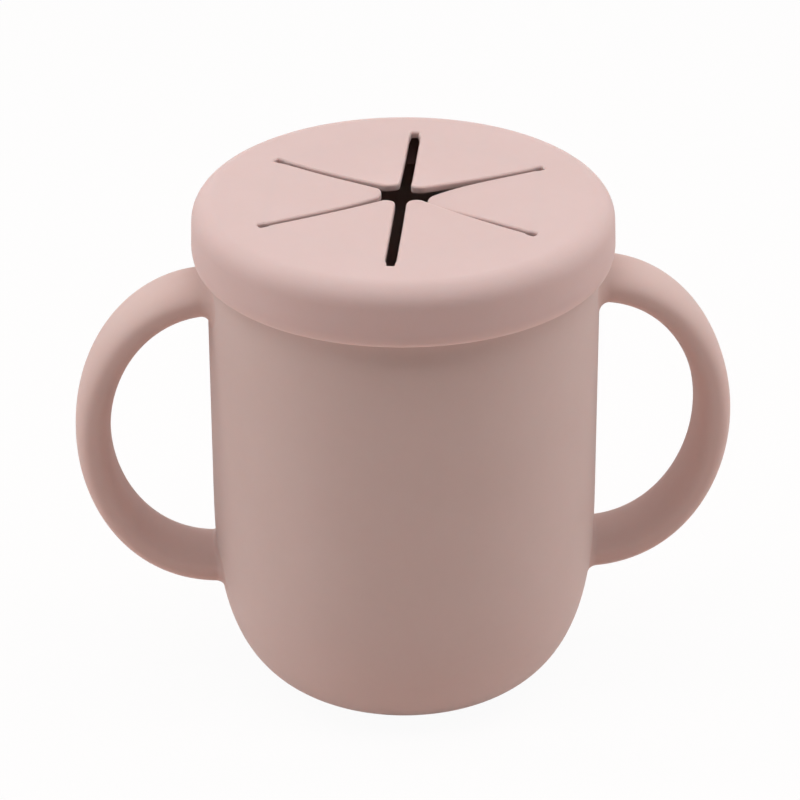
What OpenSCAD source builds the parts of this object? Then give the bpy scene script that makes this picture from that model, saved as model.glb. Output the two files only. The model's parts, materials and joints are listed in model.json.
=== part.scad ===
// Toddler snack cup: a two-handled silicone cup with a press-on lid.
// Six soft flaps in the lid let a small hand in and keep the snacks from spilling.
// The origin is the centre of the foot, +Z is up and the handles lie along X.

/* [Cup] */
// Outside diameter of the straight wall
cup_d = 74; // [66:1:90]
// Height from the foot to the rim
cup_h = 97.6; // [90:0.2:120]
// Thickness of the wall
cup_wall = 2.8; // [2:0.1:3.4]
// Thickness of the floor
cup_floor = 3.6; // [3:0.1:6]
// Diameter of the flat foot
foot_d = 32; // [26:1:40]
// Height at which the rounded bottom meets the straight wall
bottom_h = 40; // [32:1:44]
// Squareness of the rounded bottom: 2 is an ellipse, more is squarer
bottom_power = 2.8; // [2.2:0.1:3.2]
// Radius on the rim's two edges
rim_round = 1.1; // [0.6:0.1:1.3]
// Depth of the hollow under the foot
foot_hollow = 0.8; // [0.4:0.1:1.4]
// Width of the ring that the cup stands on
foot_ring = 4; // [3:0.5:6]

/* [Handles] */
// How far the middle of the grip stands out from the wall
handle_reach = 22.6; // [18:0.2:28]
// Half the height between the middles of the two roots
handle_rise = 28.8; // [24:0.2:31]
// Thickness of the grip, seen from the front
handle_t = 6.7; // [5:0.1:9]
// Width of the grip, front to back
handle_w = 16.5; // [12:0.5:20]
// Radius of the blend between a root and the wall
handle_blend = 2.2; // [0.8:0.1:3]
// Clear height between the upper root's blend and the lid's skirt
handle_drop = 1.2; // [1:0.1:5]

/* [Lid] */
// Height of the lid, from its top to the lower edge of the skirt
lid_h = 11.5; // [9:0.1:16]
// Thickness of the lid over the rim
lid_top = 2.4; // [2:0.1:3]
// Thickness of the skirt at its lower edge
skirt_t = 2.65; // [2:0.05:4]
// How much the skirt narrows from its lower edge to the shoulder
skirt_draft = 0.3; // [0:0.05:0.6]
// Radius of the shoulder between the skirt and the top
shoulder_r = 4.2; // [3:0.1:5]
// Radius on the skirt's lower edge
skirt_round = 1.5; // [0.4:0.1:1.5]
// Gap between the skirt and the cup's wall
skirt_fit = 0.1; // [0.05:0.05:0.3]
// How far the lid is turned on the cup, in degrees
lid_turned = 21.3; // [-30:0.1:30]

/* [Seal ring] */
// Thickness of the ring that plugs into the cup
ring_t = 2.1; // [1.6:0.1:2.6]
// Depth of the ring under the lid
ring_h = 5.6; // [4:0.1:8]
// Radius on the ring's two lower edges
ring_round = 0.5; // [0.2:0.1:0.7]
// Gap between the ring and the cup's inner wall
ring_fit = 0.5; // [0.4:0.1:0.8]
// Number of sealing ribs round the ring
rib_count = 2; // [1:1:3]
// Gap that is left between the ribs and the wall
rib_fit = 0.08; // [0.05:0.01:0.2]

/* [Flaps] */
// Number of flaps
flap_count = 6; // [5:1:8]
// Thickness of the flaps and of the skin round them
flap_t = 1.5; // [1.2:0.1:2]
// Width of the slits between the flaps
slit_w = 1.5; // [0.8:0.1:2]
// Distance from the slits' ends to the seal ring
slit_margin = 2.2; // [1.5:0.1:4]
// Radius on the tip of each flap
tip_r = 2; // [1:0.1:4]
// How far a flap bends each way, in degrees
flap_bend = 75; // [40:1:80]
// Gap that is left between a bent flap and the skin
bend_fit = 0.06; // [0.04:0.01:0.1]

/* [Hidden] */
$fn = 96;

silicone = "#dcb8b2";
profile_steps = 20;     // steps along each half of the bottom's curve
arc_steps = 6;          // steps along a small round
section_points = 24;    // points round the grip's section
grip_steps = 34;        // steps along the grip between its blends
blend_steps = 4;        // steps along each blend
blend_crowding = 1.5;   // 1 spaces a blend's steps evenly, more puts them closer to the wall
root_seat = 0.15;       // how deep in the wall a blend ends, so that it meets the wall at a clear angle
root_sink = 2;          // how far a grip runs on into the wall before it is cut there
lead_in = 0.4;          // chamfer inside the skirt's lower edge
over = 1;               // how far a cutter runs past the face it cuts

cup_r = cup_d / 2;
foot_r = foot_d / 2;
bore_r = cup_r - cup_wall;
floor_r = foot_r - cup_wall / 2;            // radius of the flat floor inside
rim_r = min(rim_round, 0.45 * cup_wall);    // the rim's radius, as far as the wall allows
lid_z = cup_h + lid_top;                    // top face of the lid
skirt_z = lid_z - lid_h;                    // lower edge of the skirt
skirt_in_r = cup_r + skirt_fit;
skirt_r = skirt_in_r + skirt_t;
shoulder_x = skirt_r - skirt_draft;         // radius where the shoulder starts
lip_r = min(skirt_round, 0.6 * skirt_t);    // the skirt's lower radius, as far as it is thick enough
ring_out_r = bore_r - ring_fit;
ring_in_r = ring_out_r - ring_t;
rib_r = ring_fit - rib_fit;                 // radius of a rib's half round
slit_r = ring_in_r - slit_margin;           // circle through the slits' ends
flap_angle = 360 / flap_count;
corner_r = slit_r - slit_w / 2;             // where the bend lines of two flaps cross
hinge_r = corner_r * cos(flap_angle / 2);   // distance of a flap's bend line from the axis
apex_r = slit_w / 2 / sin(flap_angle / 2);  // where a flap's two slit edges would meet
root_w = 2 * (hinge_r - apex_r) * tan(flap_angle / 2);  // width of a flap at its bend line
hinge_z = lid_z - flap_t / 2;
channel_r = flap_t / 2 / cos(flap_bend / 2) + bend_fit;
handle_z = skirt_z - handle_drop - handle_blend - handle_t / 2 - handle_rise;

// Outer radius of a rounded bottom at height z, for a curve that starts at
// radius r0 and height z0 and meets a straight wall of radius r1 at height z1.
function round_r(z, r0, z0, r1, z1) =
    z >= z1 ? r1 : r0 + (r1 - r0) * pow(1 - pow((z1 - z) / (z1 - z0), bottom_power), 1 / bottom_power);

// Points of that curve, from its foot up.
function round_bottom(r0, z0, r1, z1) = [
    for (i = [0 : profile_steps])
        let (a = 90 * i / profile_steps)
        [r0 + (r1 - r0) * pow(sin(a), 2 / bottom_power), z1 - (z1 - z0) * pow(cos(a), 2 / bottom_power)]];

// Points on an arc about [x, z], from angle a0 to a1.
function arc(x, z, r, a0, a1, steps = arc_steps) = [
    for (i = [0 : steps])
        let (a = a0 + (a1 - a0) * i / steps)
        [x + r * cos(a), z + r * sin(a)]];

function reversed(list) = [for (i = [len(list) - 1 : -1 : 0]) list[i]];

function flatten(lists) = [for (list = lists) each list];

function unit(v) = v / norm(v);

// ---- Cup ----

cup_outside = concat(
    round_bottom(foot_r, 0, cup_r, bottom_h),
    arc(cup_r - rim_r, cup_h - rim_r, rim_r, 0, 90));

cup_inside = concat(
    round_bottom(floor_r, cup_floor, bore_r, bottom_h),
    arc(bore_r + rim_r, cup_h - rim_r, rim_r, 180, 90));

foot_hollow_profile = [
    [foot_r - foot_ring, 0],
    [foot_r - foot_ring - foot_hollow, foot_hollow],
    [0, foot_hollow]];

module cup_shell() {
    color(silicone)
        rotate_extrude()
            polygon(concat(cup_outside, reversed(cup_inside), [[0, cup_floor]], reversed(foot_hollow_profile)));
}

// ---- Handles ----

// Angles along the grip, closer together in the blends at both roots.
function blend_angle(i) = acos(handle_blend * pow(i / blend_steps, blend_crowding) / handle_reach);
grip_angles = concat(
    [for (i = [0 : blend_steps]) -blend_angle(i)],
    [for (i = [1 : grip_steps - 1]) blend_angle(blend_steps) * (2 * i / grip_steps - 1)],
    [for (i = [blend_steps : -1 : 0]) blend_angle(i)]);

// Extra radius of the section at distance d from the wall: a quarter round.
function blend_at(d) =
    d >= handle_blend ? 0 : handle_blend - sqrt(pow(handle_blend, 2) - pow(handle_blend - d, 2));

// Where the wall lies, as a distance inwards from the plane x = cup_r.
function wall_back(y, z) = cup_r - sqrt(pow(round_r(z, foot_r, 0, cup_r, bottom_h), 2) - y * y);

// One section of the grip, with its middle at angle a on the ellipse.
// Towards the roots it leans back to follow the round wall and end just inside it.
function grip_section(a) =
    let (out = handle_reach * cos(a),
         z_mid = handle_z + handle_rise * sin(a),
         normal = unit([handle_rise * cos(a), handle_reach * sin(a)]),
         extra = blend_at(out),
         lean = pow(1 - min(1, out / handle_reach), 2))
    [for (i = [0 : section_points - 1])
        let (s = 360 * i / section_points,
             h = (handle_t / 2 + extra) * cos(s),
             y = (handle_w / 2 + extra) * sin(s),
             z = z_mid + h * normal.y)
        [cup_r + out + h * normal.x - lean * (root_seat + wall_back(y, z)), y, z]];

// The two end sections again, moved into the wall so that the cut there is clean.
function sunk(section) = [for (p = section) p - [root_sink, 0, 0]];
grip_sections = concat(
    [sunk(grip_section(grip_angles[0]))],
    [for (a = grip_angles) grip_section(a)],
    [sunk(grip_section(grip_angles[len(grip_angles) - 1]))]);

module loft(sections) {
    n = len(sections[0]);
    last = len(sections) - 1;
    polyhedron(
        points = flatten(sections),
        faces = concat(
            [[for (i = [0 : n - 1]) i]],
            [for (k = [0 : last - 1], i = [0 : n - 1])
                [k * n + i, (k + 1) * n + i, (k + 1) * n + (i + 1) % n, k * n + (i + 1) % n]],
            [[for (i = [n - 1 : -1 : 0]) last * n + i]]),
        convexity = 4);
}

module handle() {
    color(silicone)
        difference() {
            loft(grip_sections);
            rotate_extrude()
                polygon(concat([[0, 0]], cup_outside, [[0, cup_h]]));
        }
}

// ---- Lid ----

lid_profile = concat(
    [[0, lid_z]],
    reversed(arc(shoulder_x - shoulder_r, lid_z - shoulder_r, shoulder_r, 0, 90, 2 * arc_steps)),
    reversed(arc(skirt_r - lip_r, skirt_z + lip_r, lip_r, -90, 0)),
    [[skirt_in_r + lead_in, skirt_z],
     [skirt_in_r, skirt_z + lead_in],
     [skirt_in_r, cup_h],
     [ring_in_r, cup_h],
     [ring_in_r - (lid_top - flap_t), lid_z - flap_t],
     [0, lid_z - flap_t]]);

// The opening that the flaps fill: a polygon whose sides are the bend lines.
module flap_opening() {
    cut_h = 3 * lid_top;
    translate([0, 0, lid_z - cut_h / 2])
        linear_extrude(cut_h)
            polygon([for (i = [0 : flap_count - 1])
                corner_r * [cos(i * flap_angle), sin(i * flap_angle)]]);
}
module slit_ends() {
    for (i = [0 : flap_count - 1])
        rotate(i * flap_angle)
            translate([hinge_r, -slit_w / 2, lid_z - flap_t - over])
                cube([slit_r - hinge_r, slit_w, flap_t + 2 * over]);
}
module bend_channels() {
    channel_w = root_w + 2 * bend_fit;
    for (i = [0 : flap_count - 1])
        rotate((i + 0.5) * flap_angle)
            translate([hinge_r, channel_w / 2, hinge_z])
                rotate([90, 0, 0])
                    cylinder(r = channel_r, h = channel_w);
}
module lid_shell() {
    color(silicone)
        rotate(lid_turned)
            difference() {
                rotate_extrude()
                    polygon(lid_profile);
                flap_opening();
                slit_ends();
                bend_channels();
            }
}

// ---- Seal ring: the part of the lid that plugs into the cup ----

ring_z = cup_h - ring_h;                    // lower edge of the ring
rib_pitch = ring_h / (rib_count + 1);
ring_profile = concat(
    [[ring_in_r, cup_h]],
    arc(ring_in_r + ring_round, ring_z + ring_round, ring_round, 180, 270),
    arc(ring_out_r - ring_round, ring_z + ring_round, ring_round, 270, 360),
    flatten([for (i = [1 : rib_count])
        arc(ring_out_r, ring_z + i * rib_pitch, rib_r, -90, 90)]),
    [[ring_out_r, cup_h]]);

module seal_ring() {
    color(silicone)
        rotate_extrude()
            polygon(ring_profile);
}

// ---- Flaps ----

module flap_outline() {
    half = flap_angle / 2;
    tip_x = apex_r + tip_r / sin(half);
    polygon(concat(
        [[hinge_r + flap_t, root_w / 2], [hinge_r, root_w / 2]],
        arc(tip_x, 0, tip_r, 90 + half, 270 - half, 2 * arc_steps),
        [[hinge_r, -root_w / 2], [hinge_r + flap_t, -root_w / 2]]));
}

module flap_side() {
    square_w = hinge_r + over;
    translate([hinge_r - square_w, -flap_t / 2])
        square([square_w, flap_t]);
    translate([hinge_r, 0])
        circle(d = flap_t);
}

module flap(i) {
    color(silicone)
        rotate(lid_turned + (i - 0.5) * flap_angle)
            intersection() {
                translate([0, 0, lid_z - 2 * flap_t])
                    linear_extrude(3 * flap_t)
                        flap_outline();
                translate([0, hinge_r, hinge_z])
                    rotate([90, 0, 0])
                        linear_extrude(2 * hinge_r)
                            flap_side();
            }
}

cup_shell();
handle();  // handle_right
mirror([1, 0, 0]) handle();  // handle_left
lid_shell();
seal_ring();
for (i = [1 : flap_count])
    flap(i);
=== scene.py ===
# %% [markdown]
# # A toddler's snack cup in soft silicone
# The real thing is two mouldings of dusty pink silicone: a cup with two grips, and a lid that
# presses on. Six flaps in the lid bend to let a small hand in. The exact pieces come from a packed
# CAD model. Here each one gets the skin, the small rounds and the velvety finish that the eye sees.

# %% Load the frame
import json
import math

import bmesh
import bpy
from mathutils import Matrix, Vector


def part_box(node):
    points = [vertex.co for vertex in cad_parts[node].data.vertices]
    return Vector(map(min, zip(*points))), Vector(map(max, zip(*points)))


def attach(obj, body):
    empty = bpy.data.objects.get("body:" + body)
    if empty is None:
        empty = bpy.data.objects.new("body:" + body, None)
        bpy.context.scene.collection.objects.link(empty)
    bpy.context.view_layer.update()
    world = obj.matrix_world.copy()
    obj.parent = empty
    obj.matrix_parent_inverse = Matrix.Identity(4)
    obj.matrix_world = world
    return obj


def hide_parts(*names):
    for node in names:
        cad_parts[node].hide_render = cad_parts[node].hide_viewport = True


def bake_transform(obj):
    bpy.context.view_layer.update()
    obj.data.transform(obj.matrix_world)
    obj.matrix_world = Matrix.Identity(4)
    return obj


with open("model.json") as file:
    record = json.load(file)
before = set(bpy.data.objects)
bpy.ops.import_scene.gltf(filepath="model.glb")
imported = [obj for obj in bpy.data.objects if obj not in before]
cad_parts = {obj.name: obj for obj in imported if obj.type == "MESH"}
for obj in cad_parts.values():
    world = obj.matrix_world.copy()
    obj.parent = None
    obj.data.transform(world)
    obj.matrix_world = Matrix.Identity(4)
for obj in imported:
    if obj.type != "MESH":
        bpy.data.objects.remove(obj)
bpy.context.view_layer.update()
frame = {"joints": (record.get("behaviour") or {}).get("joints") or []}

# %% [markdown]
# ## What the frame tells
# The CAD model fixes where every piece is. So the sizes that pieces share are read from it, because
# typing them in again could only bring mistakes. A bounding box can't show how thick a wall is or
# how small a round is. Such sizes are given in millimetres, where a piece first needs them.

# %% Read the shared sizes
MM = 0.001


def highest(node):
    """Highest corner of a CAD node's box, in millimetres."""
    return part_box(node)[1] / MM


def lowest(node):
    """Lowest corner of a CAD node's box, in millimetres."""
    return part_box(node)[0] / MM


CUP_R = highest("cup_shell").x
CUP_H = highest("cup_shell").z
LID_Z = highest("lid_shell").z
SKIRT_Z = lowest("lid_shell").z
SKIRT_R = highest("lid_shell").x
RING_Z = lowest("seal_ring").z
print(f"cup {2 * CUP_R:.1f} x {CUP_H:.1f} mm, lid {2 * SKIRT_R:.1f} mm, top at {LID_Z:.1f} mm")

# %% [markdown]
# ## Sums in a node tree
# Geometry Nodes and shader nodes both do sums with Math nodes, one node for each plus or times.
# Wiring them by hand hides the formula. A Wire is an output socket that knows how to add, multiply
# and so on by making those nodes, so that a formula in the script reads as it would on paper.

# %% A wire that makes Math nodes
class Wire:
    """An output socket that makes Math nodes when it takes part in a sum."""

    def __init__(self, tree, socket):
        self.tree = tree
        self.socket = socket

    def math(self, operation, *others):
        """One Math node, with this wire first and the others after it."""
        node = self.tree.nodes.new("ShaderNodeMath")
        node.operation = operation
        for slot, value in zip(node.inputs, (self, *others)):
            plug(self.tree, value, slot)
        return Wire(self.tree, node.outputs[0])

    def __add__(self, other):
        return self.math("ADD", other)

    def __sub__(self, other):
        return self.math("SUBTRACT", other)

    def __mul__(self, other):
        return self.math("MULTIPLY", other)

    def __truediv__(self, other):
        return self.math("DIVIDE", other)

    def __pow__(self, other):
        return self.math("POWER", other)

    def root(self):
        return self.math("SQRT")

    def size(self):
        """The value without its sign."""
        return self.math("ABSOLUTE")

    def at_least(self, other):
        return self.math("MAXIMUM", other)

    def at_most(self, other):
        return self.math("MINIMUM", other)

    def within(self, low, high):
        """The value, held between two limits."""
        return self.at_least(low).at_most(high)

    def from_number(self, number):
        """number - self, for a plain number in front of the minus."""
        return (self - number) * -1.0


def plug(tree, value, socket):
    """Links a wire to a socket, or sets the socket to a plain value."""
    if isinstance(value, Wire):
        tree.links.new(value.socket, socket)
    else:
        socket.default_value = value


# %% [markdown]
# ## Nodes and groups
# A node group is like a function: named inputs go in and results come out. These four helpers add
# a node in one line, take its output as a wire, open a group and close it. Geometry trees and
# shader groups are both node groups, so both use them.

# %% Helpers for nodes and groups
FLOAT = "NodeSocketFloat"
INTEGER = "NodeSocketInt"
COLOUR = "NodeSocketColor"
GEOMETRY = "NodeSocketGeometry"
MATERIAL = "NodeSocketMaterial"


def add_node(tree, kind, settings=None, **inputs):
    """Adds a node. settings are its properties, and inputs are plugged by their names."""
    node = tree.nodes.new(kind)
    for name, value in (settings or {}).items():
        setattr(node, name, value)
    for name, value in inputs.items():
        plug(tree, value, node.inputs[name.replace("_", " ")])
    return node


def out(node, name=0):
    """A node's output as a wire."""
    return Wire(node.id_data, node.outputs[name])


def new_tree(name, kind, inputs, outputs):
    """A node group with named inputs and outputs. An input is (name, socket type, default)."""
    tree = bpy.data.node_groups.new(name, kind)
    for label, socket_kind, default in inputs:
        socket = tree.interface.new_socket(label, in_out="INPUT", socket_type=socket_kind)
        if default is not None:
            socket.default_value = default
    for label, socket_kind in outputs:
        tree.interface.new_socket(label, in_out="OUTPUT", socket_type=socket_kind)
    entry = tree.nodes.new("NodeGroupInput")
    wires = {label: Wire(tree, entry.outputs[label]) for label, _, _ in inputs}
    return tree, wires


def finish_tree(tree, **results):
    """Plugs the wires into the group's outputs."""
    exit_node = tree.nodes.new("NodeGroupOutput")
    for name, wire in results.items():
        plug(tree, wire, exit_node.inputs[name])
    return tree


# %% [markdown]
# ## Geometry trees that begin and end alike
# Every piece here has to end as one closed skin with a finish on it. So all the trees take a
# geometry and a finish, and all end in the same nodes: instances become real, because an export
# drops them, points that meet at a seam become one, and shading turns smooth.

# %% Open and close a geometry tree
MERGE = 0.002 * MM


def geometry_tree(name, *inputs):
    """A Geometry Nodes tree with a geometry going in and out, and a finish to put on it."""
    first = ("Geometry", GEOMETRY, None)
    last = ("Finish", MATERIAL, None)
    return new_tree(name, "GeometryNodeTree", [first, *inputs, last], [("Geometry", GEOMETRY)])


def end_geometry(tree, wires, geometry):
    """Makes instances real, merges seams, shades smooth and sets the material."""
    real = add_node(tree, "GeometryNodeRealizeInstances", Geometry=geometry)
    merged = add_node(tree, "GeometryNodeMergeByDistance", Geometry=out(real), Distance=MERGE)
    smooth = add_node(tree, "GeometryNodeSetShadeSmooth", Geometry=out(merged))
    dressed = add_node(tree, "GeometryNodeSetMaterial", Geometry=out(smooth),
                       Material=wires["Finish"])
    return finish_tree(tree, Geometry=out(dressed))


def turned_by(tree, angle, geometry):
    """The geometry, turned about the upright axis."""
    turn = add_node(tree, "ShaderNodeCombineXYZ", Z=angle)
    return out(add_node(tree, "GeometryNodeTransform", Geometry=geometry, Rotation=out(turn)))


# %% [markdown]
# ## From a tree to a plain piece
# A tree runs as a modifier on a starting object. The piece that rides on the CAD frame has to be a
# plain mesh, so the evaluated result is copied out and the starting object is thrown away. A
# modifier's inputs go by hidden identifiers, so grow looks each one up by the name it shows.

# %% Run a tree
scene = bpy.context.scene


def place(name, data):
    """Puts an object with this mesh, curve, lamp or camera in the scene, at the origin."""
    piece = bpy.data.objects.new(name, data)
    scene.collection.objects.link(piece)
    return piece


def grow(name, start, tree, **values):
    """Runs a tree on the data in start and returns a plain mesh piece."""
    seed = place(name + "_start", start)
    modifier = seed.modifiers.new(tree.name, "NODES")
    modifier.node_group = tree
    for item in tree.interface.items_tree:
        label = item.name.replace(" ", "_")
        if item.in_out == "INPUT" and label in values:
            modifier[item.identifier] = values[label]
    shaped = seed.evaluated_get(bpy.context.evaluated_depsgraph_get())
    piece = place(name, bpy.data.meshes.new_from_object(shaped))
    piece.data.name = name
    bpy.data.objects.remove(seed)
    faces_out(piece)
    print(f"{name}: {len(piece.data.vertices)} points, {len(piece.data.polygons)} faces")
    return piece


def faces_out(piece):
    """Turns every face of a closed mesh outwards."""
    mesh = bmesh.new()
    mesh.from_mesh(piece.data)
    bmesh.ops.recalc_face_normals(mesh, faces=mesh.faces)
    if mesh.calc_volume(signed=True) < 0:
        bmesh.ops.reverse_faces(mesh, faces=mesh.faces)
    mesh.to_mesh(piece.data)
    mesh.free()


# %% [markdown]
# ## Profiles with small rounds
# A moulding has no sharp corners. A Bevel modifier could round them all by one radius, but here
# each corner has its own. So a profile is a list of corners with a radius each, and an arc takes
# the place of each corner. A point is added just beyond both ends of an arc, so that smooth
# shading doesn't smear the round over the flat next to it.

# %% Round the corners of a profile
ARC_STEP = math.radians(9)
ARC_MARGIN = 0.08


def arc(centre, radius, start, end, steps):
    """Points on an arc in the profile's plane, from one angle to another."""
    angles = [start + (end - start) * step / steps for step in range(steps + 1)]
    return [centre + radius * Vector((math.cos(a), math.sin(a))) for a in angles]


def rounded(corners):
    """Corners (across, up, radius) to a list of points with an arc in place of each corner."""
    spots = [Vector(corner[:2]) for corner in corners]
    points = []
    for index, (spot, corner) in enumerate(zip(spots, corners)):
        radius = corner[2]
        if radius == 0 or index in (0, len(spots) - 1):
            points.append(spot)
            continue
        back = (spots[index - 1] - spot).normalized()
        ahead = (spots[index + 1] - spot).normalized()
        half = back.angle(ahead) / 2
        run = radius / math.tan(half)
        middle = spot + (back + ahead).normalized() * radius / math.sin(half)
        first = spot + back * run - middle
        last = spot + ahead * run - middle
        sweep = first.angle_signed(last)
        steps = max(2, round(abs(sweep) / ARC_STEP))
        start = math.atan2(first.y, first.x)
        points.append(spot + back * (run + ARC_MARGIN))
        points += arc(middle, radius, start, start - sweep, steps)
        points.append(spot + ahead * (run + ARC_MARGIN))
    return points


print("a square corner rounded:", len(rounded([(0, 0, 0), (9, 0, 2), (9, 9, 0)])), "points")

# %% [markdown]
# A superellipse is the curve for a softer corner. With the power 2 it is a plain ellipse, and with
# a higher power it hugs its two straight neighbours longer. The bottom of the cup and the lower
# lip of the lid are each a quarter of one.

# %% Draw a quarter of a superellipse
def squarish(r_in, z_in, r_out, z_out, steps, power):
    """From (r_in, z_in), where it lies level, to (r_out, z_out), where it stands upright."""
    share = 2 / power
    points = []
    for step in range(steps + 1):
        angle = math.pi / 2 * step / steps
        across = r_in + (r_out - r_in) * math.sin(angle) ** share
        up = z_out - (z_out - z_in) * math.cos(angle) ** share
        points.append(Vector((across, up)))
    return points


# %% [markdown]
# ## The lathe
# The cup's wall and the ring under the lid are bodies of revolution. A Screw modifier could turn a
# profile. The Curve to Mesh node with a circle as its path is a lathe too, and as a tree it serves
# both pieces and shows its number of steps as an input. The profile's own X runs away from the
# path and its Y runs down, so the tree shifts and flips it first.

# %% The lathe tree
LATHE_STEPS = 192
PATH_R = 50 * MM


def lathe_tree():
    """Sweeps a profile round a circle. The shift makes up for the circle's own radius."""
    inputs = [("Steps", INTEGER, LATHE_STEPS), ("Path radius", FLOAT, PATH_R)]
    tree, wires = geometry_tree("lathe", *inputs)
    shift = add_node(tree, "ShaderNodeCombineXYZ", X=wires["Path radius"] * -1.0)
    moved = add_node(tree, "GeometryNodeTransform", Geometry=wires["Geometry"], Scale=(1, -1, 1),
                     Translation=out(shift))
    circle = add_node(tree, "GeometryNodeCurvePrimitiveCircle", {"mode": "RADIUS"},
                      Resolution=wires["Steps"], Radius=wires["Path radius"])
    swept = add_node(tree, "GeometryNodeCurveToMesh", Curve=out(circle), Profile_Curve=out(moved))
    return end_geometry(tree, wires, out(swept))


def profile_curve(name, points, closed=False):
    """A straight-sided curve through the points of a profile, given in millimetres."""
    curve = bpy.data.curves.new(name, "CURVE")
    curve.dimensions = "3D"
    spline = curve.splines.new("POLY")
    spline.points.add(len(points) - 1)
    for spot, point in zip(spline.points, points):
        spot.co = (point[0] * MM, point[1] * MM, 0, 1)
    spline.use_cyclic_u = closed
    return curve


LATHE = lathe_tree()
print("lathe tree:", len(LATHE.nodes), "nodes,", LATHE_STEPS, "steps round")

# %% [markdown]
# ## What silicone looks like
# Matte silicone has no paint: the colour is in the rubber. What the eye reads as rubber is a set of
# faint effects: cloudy pigment, mould grain, a little lint, and a painted highlight along the lid's
# lip. A picture could be wrapped round the cup, but it would need an unwrapped surface and would
# blur up close. Noise on Object coordinates has neither fault. Each effect is a shader group,
# because the cup, the grips, the ring and the lid use them with values of their own.

# %% Helpers for the surface effects
SHADER_TREE = "ShaderNodeTree"


def object_place(tree):
    """Where a point lies on its object, which is also where it lies on the cup."""
    return out(add_node(tree, "ShaderNodeTexCoord"), "Object")


def noise(tree, spots, scale, detail=2.0, rough=0.5):
    """A noise texture's value over the surface."""
    node = add_node(tree, "ShaderNodeTexNoise", Vector=spots, Scale=scale, Detail=detail,
                    Roughness=rough)
    return out(node, "Fac")


def mixed_colour(tree, first, second, factor):
    """The first colour, with the second over it where the factor is 1."""
    mix = add_node(tree, "ShaderNodeMix", {"data_type": "RGBA"}, Factor=factor)
    # A Mix node has an A and a B for every kind of data, so the colours go by number.
    plug(tree, first, mix.inputs[6])
    plug(tree, second, mix.inputs[7])
    return out(mix, 2)


# %% [markdown]
# ### Cloudy pigment
# Pigment is stirred into the rubber and never mixes quite evenly. Two noises, one broad and one
# several times finer, say where there is a little more of it, and the colour drifts between two
# close tones.

# %% The pigment group
CLOUD_DETAIL = 3.0
FINE_CLOUDS = 7.0
BROAD_SHARE = 0.75
FINE_SHARE = 0.25


def cloud_group():
    """Cloudy pigment: the colour drifts a little between two close tones."""
    inputs = [("Tone", COLOUR, (0.7, 0.45, 0.4, 1)), ("Other tone", COLOUR, (0.7, 0.45, 0.4, 1)),
              ("Cloud size", FLOAT, 0.02), ("Contrast", FLOAT, 2.0)]
    tree, wires = new_tree("cloudy_pigment", SHADER_TREE, inputs, [("Colour", COLOUR)])
    spots = object_place(tree)
    pitch = wires["Cloud size"].math("POWER", -1.0)
    broad = noise(tree, spots, pitch, CLOUD_DETAIL)
    fine = noise(tree, spots, pitch * FINE_CLOUDS)
    density = (broad * BROAD_SHARE + fine * FINE_SHARE - 0.5) * wires["Contrast"] + 0.5
    colour = mixed_colour(tree, wires["Tone"], wires["Other tone"], density.within(0.0, 1.0))
    return finish_tree(tree, Colour=colour)


CLOUD = cloud_group()
print("pigment group:", len(CLOUD.nodes), "nodes")

# %% [markdown]
# ### Mould grain
# The steel mould is blasted to a fine even grain, and the rubber copies it. That grain is what
# makes the surface matte. The group gives its height, for the bump, and a roughness that varies
# slowly from place to place, as on a cup that has been held.

# %% The grain group
GRAIN_DETAIL = 3.0
GRAIN_CRISPNESS = 0.6
PATCH_SCALE = 0.02


def grain_group():
    """Mould grain: a fine height for the bump, and a roughness that varies over wide patches."""
    inputs = [("Grain size", FLOAT, 0.0003), ("Roughness", FLOAT, 0.55), ("Spread", FLOAT, 0.1)]
    outputs = [("Height", FLOAT), ("Roughness", FLOAT)]
    tree, wires = new_tree("mould_grain", SHADER_TREE, inputs, outputs)
    spots = object_place(tree)
    pitch = wires["Grain size"].math("POWER", -1.0)
    grain = noise(tree, spots, pitch, GRAIN_DETAIL, GRAIN_CRISPNESS)
    patches = noise(tree, spots, pitch * PATCH_SCALE)
    rough = wires["Roughness"] + (patches - 0.5) * wires["Spread"]
    return finish_tree(tree, Height=grain, Roughness=rough)


GRAIN = grain_group()
print("grain group:", len(GRAIN.nodes), "nodes")

# %% [markdown]
# ### Lint
# Soft silicone picks up specks of lint. They lie far apart and no two are the same size, so plain
# noise won't do. A Voronoi texture scatters one point in each cell of space. A share of the cells
# get a speck, and each cell's own random colour sets how large it is.

# %% The lint group
SMALLEST_SPECK = 0.3


def lint_group():
    """Lint: small pale specks, far apart, each of its own size."""
    inputs = [("Spacing", FLOAT, 0.006), ("Speck size", FLOAT, 0.0002), ("Share", FLOAT, 0.3)]
    tree, wires = new_tree("lint_specks", SHADER_TREE, inputs, [("Mask", FLOAT)])
    cells = add_node(tree, "ShaderNodeTexVoronoi", {"feature": "F1"}, Vector=object_place(tree))
    plug(tree, wires["Spacing"].math("POWER", -1.0), cells.inputs["Scale"])
    split = add_node(tree, "ShaderNodeSeparateColor", Color=out(cells, "Color"))
    chosen = out(split, "Red").math("LESS_THAN", wires["Share"])
    size = wires["Speck size"] / wires["Spacing"] * (out(split, "Green") + SMALLEST_SPECK)
    near = (out(cells, "Distance") / size).from_number(1.0).within(0.0, 1.0)
    return finish_tree(tree, Mask=near * chosen)


LINT = lint_group()
print("lint group:", len(LINT.nodes), "nodes")
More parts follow.
